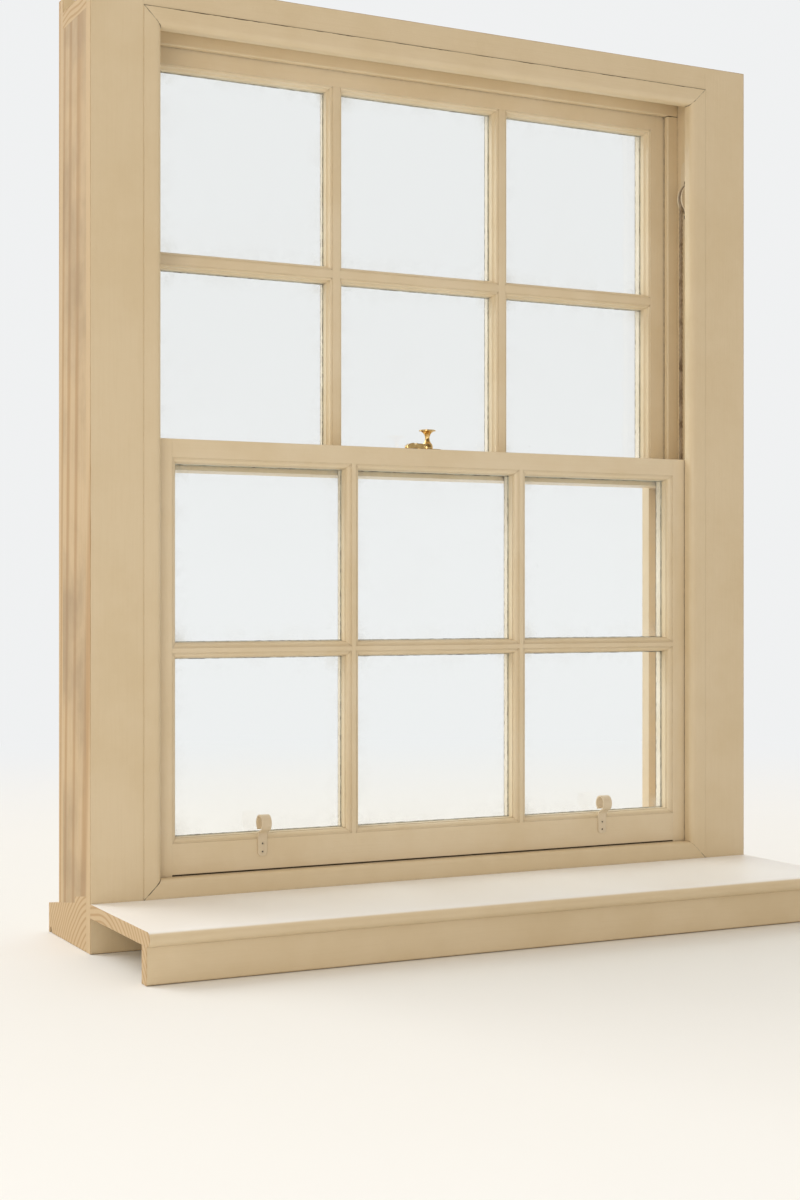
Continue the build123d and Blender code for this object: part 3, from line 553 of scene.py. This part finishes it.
def addMesh(whole, bm):
    # Adds one finished bmesh to the one that gathers them
    mesh = bpy.data.meshes.new("one")
    bm.to_mesh(mesh)
    bm.free()
    whole.from_mesh(mesh)
    bpy.data.meshes.remove(mesh)


def drawnVerts(items):
    return [item for item in items if isinstance(item, bmesh.types.BMVert)]


def drawnEdges(items):
    return [item for item in items if isinstance(item, bmesh.types.BMEdge)]


# Sash cords: three strands of twisted cotton, greyed by handling

sashCord = {"radius": 0.003, "strand": 0.00162, "lay": 0.0215, "step": 0.0018, "pale": colour(172, 154, 130),
            "dirty": colour(112, 92, 70), "shade": colour(56, 44, 30), "reach": 0.0012, "dirtAndShade": 0.7,
            "relief": 0.0004, "knot": 0.0047, "uneven": 0.0004, "lumps": 500, "upperRun": 0.12, "eye": 0.010,
            "twists": {"sash": 0.0, "weight": 0.7, "wheel": 0.3}}


def makeCordMaterial(look):
    material, tree, shader = newMaterial("twistedCotton")
    place = objectPlace(tree)
    fibre = mottled(tree, place, 2400.0, 3.0)
    soil = ranged(tree, mottled(tree, place, 60.0, 4.0), 0.4, 0.75)
    crevice = useGroup(tree, creviceDirtAndShade, reach=look["reach"], amount=look["dirtAndShade"])
    base = blended(tree, soil, look["pale"], look["dirty"])
    base = blended(tree, scaled(tree, 0.3, fibre), base, look["dirty"])
    base = blended(tree, crevice["Mask"], base, look["shade"])
    rough = ranged(tree, fibre, 0.3, 0.7, 0.75, 0.95)
    linkSurface(tree, shader, base, rough, scaled(tree, look["relief"], fibre))
    return material


cordCotton = makeCordMaterial(sashCord)


def strandCurve(route, frames, start, look):
    # One strand: a helix about the route, thickened as a round bevel
    curve = bpy.data.curves.new("strand", "CURVE")
    curve.dimensions = "3D"
    curve.bevel_depth = look["strand"]
    curve.bevel_resolution = 2
    curve.use_fill_caps = True
    spline = curve.splines.new("POLY")
    spline.points.add(len(route) - 1)
    reach = look["radius"] - look["strand"]
    for point, (place, across, up, run) in zip(spline.points, zip(*frames)):
        turn = start + 2 * pi * run / look["lay"]
        spot = place + across * (reach * cos(turn)) + up * (reach * sin(turn))
        point.co = (*spot, 1.0)
    return curve


def ropePiece(name, route, twist, look):
    # The route lies in a plane across Y, so one direction across it never turns
    across = Vector((0.0, 1.0, 0.0))
    runs = [0.0]
    ups = []
    for index, place in enumerate(route):
        ahead = route[min(index + 1, len(route) - 1)] - route[max(index - 1, 0)]
        ups.append(ahead.normalized().cross(across))
        if index:
            runs.append(runs[-1] + (place - route[index - 1]).length)
    frames = (route, [across] * len(route), ups, runs)
    bm = bmesh.new()
    for number in range(3):
        curve = strandCurve(route, frames, number * 2 * pi / 3 + twist, look)
        holder = bpy.data.objects.new("strand", curve)
        bpy.context.scene.collection.objects.link(holder)
        bpy.context.view_layer.update()
        mesh = bpy.data.meshes.new_from_object(holder.evaluated_get(bpy.context.evaluated_depsgraph_get()))
        bm.from_mesh(mesh)
        bpy.data.objects.remove(holder)
        bpy.data.curves.remove(curve)
        bpy.data.meshes.remove(mesh)
    return newPiece(name, bm, cordCotton)


def straightRoute(x, y, low, high, step):
    count = max(2, round((high - low) / step))
    return [Vector((x, y, low + (high - low) * index / count)) for index in range(count + 1)]


def arcRoute(centre, radius, side, step):
    count = round(pi * radius / step)
    return [centre + Vector((-side * radius * cos(pi * index / count), 0, radius * sin(pi * index / count)))
            for index in range(count + 1)]


def makeKnot(name, place, look):
    bm = bmesh.new()
    bmesh.ops.create_uvsphere(bm, u_segments=20, v_segments=12, radius=look["knot"])
    for vertex in bm.verts:
        vertex.co += vertex.normal * look["uneven"] * noise.noise(vertex.co * look["lumps"])
    bmesh.ops.translate(bm, verts=bm.verts, vec=place)
    return newPiece(name, bm, cordCotton)


def cordPlan(part, label, look):
    # The wheel's middle, how far from it the cord runs, and where it ends at the sash and at the weight
    wheelLow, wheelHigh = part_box("pulley_wheel_" + label)
    cordLow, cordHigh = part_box("sash_cord_" + label)
    centre = (wheelLow + wheelHigh) / 2
    pitch = cordHigh.z - look["radius"] - centre.z
    foot = cordLow.z + look["knot"] if part == "lower" else centre.z - look["upperRun"]
    return centre, pitch, {"sash": foot, "weight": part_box("sash_weight_" + label)[1].z - look["eye"]}


def hangCord(part, word, side, look):
    label = part + "_" + word
    centre, pitch, ends = cordPlan(part, label, look)
    places = {"sash": centre.x - side * pitch, "weight": centre.x + side * pitch}
    runs = {}
    for end, x in places.items():
        route = straightRoute(x, centre.y, ends[end], centre.z, look["step"])
        runs[end] = ropePiece("cord_" + end + "_side_" + label, route, look["twists"][end], look)
    arc = arcRoute(centre, pitch, side, look["step"])
    overWheel = ropePiece("cord_over_wheel_" + label, arc, look["twists"]["wheel"], look)
    knot = makeKnot("cord_knot_" + label, Vector((places["sash"], centre.y, ends["sash"])), look)
    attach(knot, part + "_sash")
    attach(overWheel, "frame")
    # The run that shortens is hung on the frame with a mesh of its own, and the other one has its place baked
    # into its mesh
    shorter, longer = ("sash", "weight") if part == "lower" else ("weight", "sash")
    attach(runs[shorter], "frame")
    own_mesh(runs[shorter])
    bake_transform(runs[longer])
    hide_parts("sash_cord_" + label)


for part in ("lower", "upper"):
    for word, side in (("left", -1), ("right", 1)):
        hangCord(part, word, side, sashCord)
print("cords hung")


# Putty round each pane, with a hand-cut sight line

puttyPaint = {"tone": colour(240, 234, 220), "aged": colour(228, 218, 196), "grimeAndShade": colour(70, 58, 40),
              "brush": 0.0002, "lump": 0.0004, "stretch": (160.0, 160.0, 160.0), "ragged": 0.006,
              "line": (0.0006, 0.0018)}
puttyBead = {"cuts": 70, "lap": puttyLap, "margin": 0.001, "offGlass": 0.00015, "hollow": 0.0007,
             "courses": 5, "wander": 0.0005, "wanderScale": 60.0, "ripple": 0.00025, "rippleScale": 300.0,
             "mitre": 0.0001}


def makePuttyMaterial(name, look, outside):
    # A dark ragged line is painted where the putty ends at the sash's outer face
    material, tree, shader = newMaterial(name)
    marks = useGroup(tree, brushMarks, stretch=look["stretch"])
    depth = put(tree, "SeparateXYZ", {0: objectPlace(tree)}).outputs["Y"]
    ragged = added(tree, depth, scaled(tree, look["ragged"], marks["Strokes"]))
    line = ranged(tree, ragged, *[outside + reach for reach in look["line"]])
    base = blended(tree, ranged(tree, marks["Cloud"], 0.34, 0.66), look["tone"], look["aged"])
    base = blended(tree, line, base, look["grimeAndShade"])
    rough = ranged(tree, marks["Strokes"], 0.3, 0.7, 0.45, 0.7)
    height = added(tree, scaled(tree, look["brush"], marks["Strokes"]),
                   scaled(tree, look["lump"], marks["Lumps"]))
    linkSurface(tree, shader, base, rough, height)
    return material


def paneWindows(part):
    # The clear opening of each pane between the mouldings
    lines, half = paneLines(part)
    columns, rows = ([(first + half, second - half) for first, second in zip(lines[axis], lines[axis][1:])]
                     for axis in ("X", "Z"))
    return [column + row for column in columns for row in rows]


def puttyRing(window, profile, look):
    # A rectangle of short edges is drawn out through each point of the section, then left a little uneven
    x0, x1, z0, z1 = window
    centre = Vector(((x0 + x1) / 2, 0.0, (z0 + z1) / 2))
    halfX, halfZ = (x1 - x0) / 2, (z1 - z0) / 2
    grow, y = profile[0]
    bm = bmesh.new()
    corners = [(-1, -1), (1, -1), (1, 1), (-1, 1)]
    verts = [bm.verts.new((centre.x + sideX * (halfX + grow), y, centre.z + sideZ * (halfZ + grow)))
             for sideX, sideZ in corners]
    edges = [bm.edges.new((verts[index], verts[(index + 1) % 4])) for index in range(4)]
    bmesh.ops.subdivide_edges(bm, edges=edges, cuts=look["cuts"])
    edges = bm.edges[:]
    for nextGrow, nextY in profile[1:] + profile[:1]:
        drawn = bmesh.ops.extrude_edge_only(bm, edges=edges)["geom"]
        edges = drawnEdges(drawn)
        for vertex in drawnVerts(drawn):
            vertex.co.x = centre.x + (vertex.co.x - centre.x) * (halfX + nextGrow) / (halfX + grow)
            vertex.co.z = centre.z + (vertex.co.z - centre.z) * (halfZ + nextGrow) / (halfZ + grow)
            vertex.co.y = nextY
        grow, y = nextGrow, nextY
    bmesh.ops.remove_doubles(bm, verts=bm.verts, dist=weld["coarse"])
    widest = profile[0][0]
    for vertex in bm.verts:
        across, along = vertex.co.x - centre.x, vertex.co.z - centre.z
        pastX, pastZ = abs(across) - halfX, abs(along) - halfZ
        loose = min(1.0, max(0.0, (widest - max(pastX, pastZ)) / (widest + look["lap"])))
        push = loose * (noise.noise(vertex.co * look["wanderScale"]) * look["wander"]
                        + noise.noise(vertex.co * look["rippleScale"]) * look["ripple"])
        if pastX > pastZ - look["mitre"]:
            vertex.co.x -= push if across > 0 else -push
        if pastZ > pastX - look["mitre"]:
            vertex.co.z -= push if along > 0 else -push
    return bm


def makePutty(part, look):
    puttyLow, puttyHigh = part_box(part + "_putty")
    windows = paneWindows(part)
    rebate = puttyHigh.z - max(z1 for x0, x1, z0, z1 in windows)
    near, far = puttyLow.y + look["offGlass"], puttyHigh.y
    profile = [(rebate, near)]
    for step in range(look["courses"] + 1):
        share = step / look["courses"]
        sag = look["hollow"] * 4 * share * (1 - share)
        profile.append((-look["lap"] + share * (rebate - look["margin"] + look["lap"]) + sag,
                        near + share * (far - near)))
    profile.append((rebate, far))
    whole = bmesh.new()
    for window in windows:
        addMesh(whole, puttyRing(window, profile, look))
    piece = newPiece(part + "_putty_bead", whole, makePuttyMaterial(part + "PaintedPutty", puttyPaint, far))
    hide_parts(part + "_putty")
    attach(piece, part + "_sash")


for part in ("lower", "upper"):
    makePutty(part, puttyBead)
print("putty done")


# Countersunk screws with a cross recess, painted over with the fittings

crossScrew = {"head": 0.00292, "shank": 0.0015, "slot": 0.00095, "arm": 0.00135, "depth": 0.0011,
              "taper": 0.55, "sink": 0.00012, "length": 0.0118, "point": 0.3, "segments": 28, "turn": 37,
              "nextTurn": 71, "grimeAndShade": colour(40, 30, 18), "dust": colour(72, 56, 36)}


def screwPlaces(node, direction):
    # Each screw of the group: where the middle of its head lies, read from its island of faces
    bm = bmesh.new()
    bm.from_mesh(nodes[node].data)
    bmesh.ops.remove_doubles(bm, verts=bm.verts, dist=weld["coarse"])
    left = set(bm.verts)
    places = []
    while left:
        island, front = [], [left.pop()]
        while front:
            vertex = front.pop()
            island.append(vertex.co.copy())
            for edge in vertex.link_edges:
                other = edge.other_vert(vertex)
                if other in left:
                    left.remove(other)
                    front.append(other)
        low = Vector([min(point[axis] for point in island) for axis in range(3)])
        high = Vector([max(point[axis] for point in island) for axis in range(3)])
        middle = (low + high) / 2
        outwards = direction(middle)
        half = abs((high - low).dot(outwards)) / 2
        places.append((middle + outwards * half, outwards))
    bm.free()
    return sorted(places, key=lambda place: tuple(round(number, 4) for number in place[0]))


def makeRecessGrimeAndShade(look):
    # Near-black for the inside of the cross recess: dirt, and painted shade in the recess
    material, tree, shader = newMaterial("recessGrimeAndShade")
    patches = mottled(tree, objectPlace(tree), 900.0, 3.0)
    base = blended(tree, patches, look["grimeAndShade"], look["dust"])
    linkSurface(tree, shader, base, ranged(tree, patches, 0.3, 0.7, 0.6, 0.9))
    return material


recessGrimeAndShade = makeRecessGrimeAndShade(crossScrew)


def makeScrew(look, turn):
    # Head up along Z with its face at 0: the cross is cut and sunk, then the rim is drawn down to the point
    bm = bmesh.new()
    bmesh.ops.create_circle(bm, cap_ends=True, segments=look["segments"], radius=look["head"])
    for reach in (-look["arm"], -look["slot"] / 2, look["slot"] / 2, look["arm"]):
        for across in (Vector((1, 0, 0)), Vector((0, 1, 0))):
            bmesh.ops.bisect_plane(bm, geom=bm.verts[:] + bm.edges[:] + bm.faces[:], dist=weld["cut"],
                                   plane_co=across * reach, plane_no=across)
    rim = [edge for edge in bm.edges if edge.is_boundary]
    recess = []
    for face in bm.faces:
        middle = face.calc_center_median()
        short, long = sorted((abs(middle.x), abs(middle.y)))
        if short < look["slot"] / 2 and long < look["arm"]:
            recess.append(face)
    recess = bmesh.ops.dissolve_faces(bm, faces=recess)["region"]
    bevel = look["head"] - look["shank"]
    for width, drop in ((look["shank"], bevel), (look["shank"], look["length"] - bevel),
                        (look["shank"] * look["point"], look["length"])):
        drawn = bmesh.ops.extrude_edge_only(bm, edges=rim)["geom"]
        rim = drawnEdges(drawn)
        for vertex in drawnVerts(drawn):
            level = Vector((vertex.co.x, vertex.co.y, 0.0))
            vertex.co = level.normalized() * width
            vertex.co.z = -drop
    bmesh.ops.edgeloop_fill(bm, edges=rim)
    sunk = bmesh.ops.extrude_face_region(bm, geom=recess)["geom"]
    bmesh.ops.delete(bm, geom=recess, context="FACES_ONLY")
    floor = drawnVerts(sunk)
    bmesh.ops.scale(bm, verts=floor, vec=(look["taper"], look["taper"], 1.0))
    bmesh.ops.translate(bm, verts=floor, vec=(0, 0, -look["depth"]))
    for face in bm.faces:
        middle = face.calc_center_median()
        inRecess = Vector((middle.x, middle.y)).length < look["arm"]
        # The recess faces take the dark second material: dirt and painted shade
        if inRecess and -look["depth"] - weld["coarse"] < middle.z < -weld["coarse"]:
            face.material_index = 1
    bmesh.ops.rotate(bm, verts=bm.verts, cent=(0, 0, 0), matrix=Matrix.Rotation(turn, 3, "Z"))
    bmesh.ops.translate(bm, verts=bm.verts, vec=(0, 0, -look["sink"]))
    return bm


def makeScrews(node, direction, body, material, look):
    whole = bmesh.new()
    for number, (place, outwards) in enumerate(screwPlaces(node, direction)):
        one = makeScrew(look, radians(look["turn"] + look["nextTurn"] * number))
        turn = outwards.to_track_quat("Z", "Y").to_matrix().to_4x4()
        bmesh.ops.transform(one, matrix=Matrix.Translation(place) @ turn, verts=one.verts)
        addMesh(whole, one)
    piece = newPiece("cross_head_" + node, whole, material, smooth=False)
    piece.data.materials.append(recessGrimeAndShade)
    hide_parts(node)
    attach(piece, body)


def towardsRoom(middle):
    # The fastener's screws stand in the rail's top, the lifts' screws in its face
    return Vector((0, 0, 1)) if middle.z > 0.5 else Vector((0, -1, 0))


makeScrews("sash_screws", towardsRoom, "lower_sash", metalCoat, crossScrew)
makeScrews("keeper_screws", lambda middle: Vector((0, 0, 1)), "upper_sash", brass, crossScrew)
makeScrews("pulley_screws", lambda middle: Vector((-1 if middle.x > 0 else 1, 0, 0)), "frame", metalCoat,
           crossScrew)
print("screws done")


# Floor and backdrop, pale and plain

# "sky" points to the brightest part, and each pair says between which directions one light turns to the other
room = {"outdoors": (0.87, 0.88, 0.885, 1.0), "indoors": (0.17, 0.14, 0.10, 1.0), "overFloor": (-0.02, 0.16),
        "nearSide": (-0.75, 0.25), "sky": (0.0, 0.45, 0.89), "skyward": (-0.7, 1.0), "dim": 0.23,
        "bright": 0.95, "warm": (1.0, 0.90, 0.77, 1.0), "cool": (1.0, 0.99, 0.975, 1.0),
        "coolSide": (-0.6, 0.4)}
stage = {"pale": colour(240, 240, 238), "grey": colour(233, 233, 230), "mottle": 0.3, "rough": 0.75,
         "fade": (0.9, 3.4), "size": 9.0, "drop": 0.0005, "outdoors": room["outdoors"]}


def seenDirectly(tree):
    path = put(tree, "LightPath").outputs
    seen = added(tree, path["Is Camera Ray"], path["Is Glossy Ray"])
    return smaller(tree, added(tree, seen, path["Is Transmission Ray"]), 1.0)


def makeStage(look):
    # The floor fades into the backdrop further off, where no shadow falls
    material, tree, shader = newMaterial("paleStage")
    place = objectPlace(tree)
    patches = scaled(tree, look["mottle"], mottled(tree, place, 3.0, 4.0))
    tree.links.new(blended(tree, patches, look["pale"], look["grey"]), shader.inputs["Base Color"])
    shader.inputs["Roughness"].default_value = look["rough"]
    far = put(tree, "VectorMath", {0: place}, operation="LENGTH").outputs["Value"]
    backdrop = put(tree, "Emission", {"Color": look["outdoors"], "Strength": 1.0})
    share = scaled(tree, seenDirectly(tree), ranged(tree, far, *look["fade"]))
    both = put(tree, "MixShader", {0: share, 1: shader.outputs[0], 2: backdrop.outputs[0]})
    tree.links.new(both.outputs[0], tree.nodes["Material Output"].inputs["Surface"])
    bm = bmesh.new()
    bmesh.ops.create_grid(bm, x_segments=1, y_segments=1, size=look["size"])
    mesh = bpy.data.meshes.new("floor")
    bm.to_mesh(mesh)
    bm.free()
    mesh.materials.append(material)
    floor = bpy.data.objects.new("floor", mesh)
    floor.location.z = cadLow.z - look["drop"]
    bpy.context.scene.collection.objects.link(floor)


makeStage(stage)


# Light: broad daylight from outside, a large softbox in the room to its left, and a pale world

daylight = {"from": (-0.56, 0.66, 0.66), "strength": 1.35, "spread": 44.0, "tint": (1.0, 0.99, 0.97)}
roomLight = {"place": (-2.3, -2.6, 1.1), "aim": (0.0, 0.0, 0.5), "power": 16.5, "size": 1.2,
             "tint": (1.0, 0.90, 0.78)}


def placeLamp(holder, towards):
    holder.rotation_euler = towards.to_track_quat("Z", "Y").to_euler()
    bpy.context.scene.collection.objects.link(holder)


def makeDaylight(look):
    lamp = bpy.data.lights.new("daylight", "SUN")
    lamp.energy = look["strength"]
    lamp.angle = radians(look["spread"])
    lamp.color = look["tint"]
    placeLamp(bpy.data.objects.new("daylight", lamp), Vector(look["from"]))


def makeSoftbox(look):
    lamp = bpy.data.lights.new("roomLight", "AREA")
    lamp.energy = look["power"]
    lamp.size = look["size"]
    lamp.color = look["tint"]
    holder = bpy.data.objects.new("roomLight", lamp)
    holder.location = look["place"]
    holder.visible_camera = False
    placeLamp(holder, Vector(look["place"]) - Vector(look["aim"]))


def makeWorld(look):
    # Brightest from the sky outside and dim from the room, where it is warmer
    world = bpy.data.worlds.new("paleRoom")
    bpy.context.scene.world = world
    world.use_nodes = True
    tree = world.node_tree
    shade = tree.nodes["Background"]
    direction = put(tree, "TexCoord").outputs["Generated"]
    apart = put(tree, "SeparateXYZ", {0: direction}).outputs
    # What mirrors show of the dim room, which lies on the near side and above the floor
    roomward = scaled(tree, ranged(tree, apart["Z"], *look["overFloor"]),
                      ranged(tree, apart["Y"], *look["nearSide"], 1.0, 0.0))
    mirrored = blended(tree, roomward, look["outdoors"], look["indoors"])
    path = put(tree, "LightPath").outputs
    behind = larger(tree, path["Is Camera Ray"], path["Is Transmission Ray"])
    mirrored = blended(tree, behind, mirrored, look["outdoors"])
    skyward = put(tree, "VectorMath", {0: direction, 1: look["sky"]}, operation="DOT_PRODUCT")
    ambient = ranged(tree, skyward.outputs["Value"], *look["skyward"], look["dim"], look["bright"])
    tint = blended(tree, ranged(tree, apart["Y"], *look["coolSide"]), look["warm"], look["cool"])
    seen = seenDirectly(tree)
    tree.links.new(blended(tree, seen, tint, mirrored), shade.inputs["Color"])
    tree.links.new(ranged(tree, seen, 0.0, 1.0, ambient, 1.0), shade.inputs["Strength"])


makeDaylight(daylight)
makeSoftbox(roomLight)
makeWorld(room)


# Camera at the photograph's place, level, turned towards the window

view = {"place": (-1.2339, -2.3695, 0.4547), "turn": -26.789, "lens": 55.55, "sensor": 36.0, "near": 0.05}


def makeCamera(look):
    lens = bpy.data.cameras.new("camera")
    lens.lens = look["lens"]
    lens.sensor_width = look["sensor"]
    lens.clip_start = look["near"]
    holder = bpy.data.objects.new("camera", lens)
    holder.location = look["place"]
    holder.rotation_euler = (radians(90), 0.0, radians(look["turn"]))
    bpy.context.scene.collection.objects.link(holder)
    bpy.context.scene.camera = holder


makeCamera(view)
bpy.context.scene.view_settings.view_transform = "Standard"
print("stage, light and camera ready")
